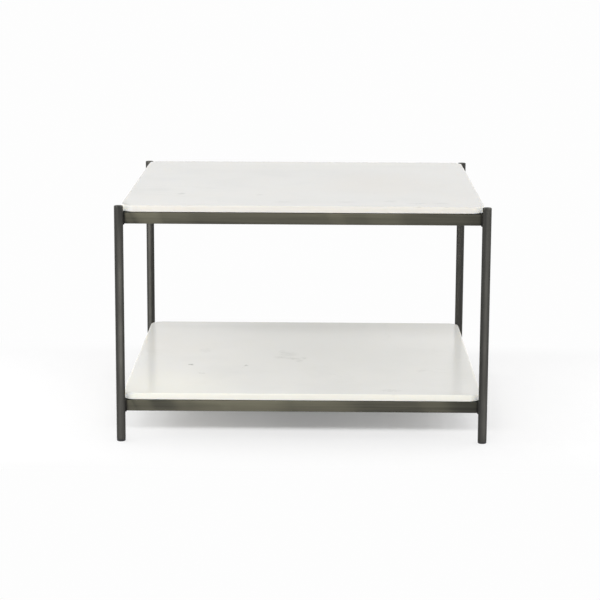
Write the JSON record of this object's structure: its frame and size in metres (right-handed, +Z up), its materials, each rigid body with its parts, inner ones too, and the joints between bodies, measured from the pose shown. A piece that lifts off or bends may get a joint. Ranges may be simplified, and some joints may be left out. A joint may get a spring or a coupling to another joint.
{
  "type": "bunching table",
  "caption": "Square open table with a stone top and a stone lower shelf, each resting on a ring of flat iron bar between round bar legs that stand on levelling feet.",
  "frame": {"origin": "on the floor, under the middle of the table", "axes": "+Z up, +X to the right and the front towards -Y as in the picture"},
  "size_m": [0.711, 0.711, 0.457],
  "materials": {
    "stone": "polished white stone",
    "iron": "dark gunmetal patina with lengthwise streaks",
    "clear_bumper": "clear soft plastic",
    "nylon": "black nylon",
    "zinc_steel": "zinc plated"
  },
  "bodies": {
    "frame": {"leg_front_left": "iron", "leg_front_right": "iron", "leg_back_left": "iron", "leg_back_right": "iron", "top_rail_front": "iron", "top_rail_back": "iron", "top_rail_left": "iron", "top_rail_right": "iron", "top_cross_bar": "iron", "top_bumpers": "clear_bumper", "top_frame_welds": "iron", "shelf_rail_front": "iron", "shelf_rail_back": "iron", "shelf_rail_left": "iron", "shelf_rail_right": "iron", "shelf_cross_bar": "iron", "shelf_bumpers": "clear_bumper", "shelf_frame_welds": "iron"},
    "top_slab": {"top_slab": "stone"},
    "shelf_slab": {"shelf_slab": "stone"},
    "foot_front_left": {"foot_glide_front_left": "nylon"},
    "stud_front_left": {"foot_stud_front_left": "zinc_steel"},
    "foot_front_right": {"foot_glide_front_right": "nylon"},
    "stud_front_right": {"foot_stud_front_right": "zinc_steel"},
    "foot_back_left": {"foot_glide_back_left": "nylon"},
    "stud_back_left": {"foot_stud_back_left": "zinc_steel"},
    "foot_back_right": {"foot_glide_back_right": "nylon"},
    "stud_back_right": {"foot_stud_back_right": "zinc_steel"}
  },
  "joints": [
    {"name": "top_slab_lift", "type": "slide", "parent": "frame", "child": "top_slab", "axis": [0, 0, 1], "range_m": [0, 0.06]},
    {"name": "shelf_slab_lift", "type": "slide", "parent": "frame", "child": "shelf_slab", "axis": [0, 0, 1], "range_m": [0, 0.3]},
    {"name": "foot_front_left_extend", "type": "slide", "parent": "frame", "child": "foot_front_left", "axis": [0, 0, -1], "range_m": [0, 0.008]},
    {"name": "foot_front_left_turn", "type": "hinge", "parent": "foot_front_left", "child": "stud_front_left", "pos_m": [-0.3469, -0.3469, 0], "axis": [0, 0, -1], "range_deg": [0, 2880]},
    {"name": "foot_front_right_extend", "type": "slide", "parent": "frame", "child": "foot_front_right", "axis": [0, 0, -1], "range_m": [0, 0.008]},
    {"name": "foot_front_right_turn", "type": "hinge", "parent": "foot_front_right", "child": "stud_front_right", "pos_m": [0.3469, -0.3469, 0], "axis": [0, 0, -1], "range_deg": [0, 2880]},
    {"name": "foot_back_left_extend", "type": "slide", "parent": "frame", "child": "foot_back_left", "axis": [0, 0, -1], "range_m": [0, 0.008]},
    {"name": "foot_back_left_turn", "type": "hinge", "parent": "foot_back_left", "child": "stud_back_left", "pos_m": [-0.3469, 0.3469, 0], "axis": [0, 0, -1], "range_deg": [0, 2880]},
    {"name": "foot_back_right_extend", "type": "slide", "parent": "frame", "child": "foot_back_right", "axis": [0, 0, -1], "range_m": [0, 0.008]},
    {"name": "foot_back_right_turn", "type": "hinge", "parent": "foot_back_right", "child": "stud_back_right", "pos_m": [0.3469, 0.3469, 0], "axis": [0, 0, -1], "range_deg": [0, 2880]}
  ],
  "couplings": [
    {"joint": "foot_front_left_turn", "follows": "foot_front_left_extend", "rad_per_m": 6283.2},
    {"joint": "foot_front_right_turn", "follows": "foot_front_right_extend", "rad_per_m": 6283.2},
    {"joint": "foot_back_left_turn", "follows": "foot_back_left_extend", "rad_per_m": 6283.2},
    {"joint": "foot_back_right_turn", "follows": "foot_back_right_extend", "rad_per_m": 6283.2}
  ]
}
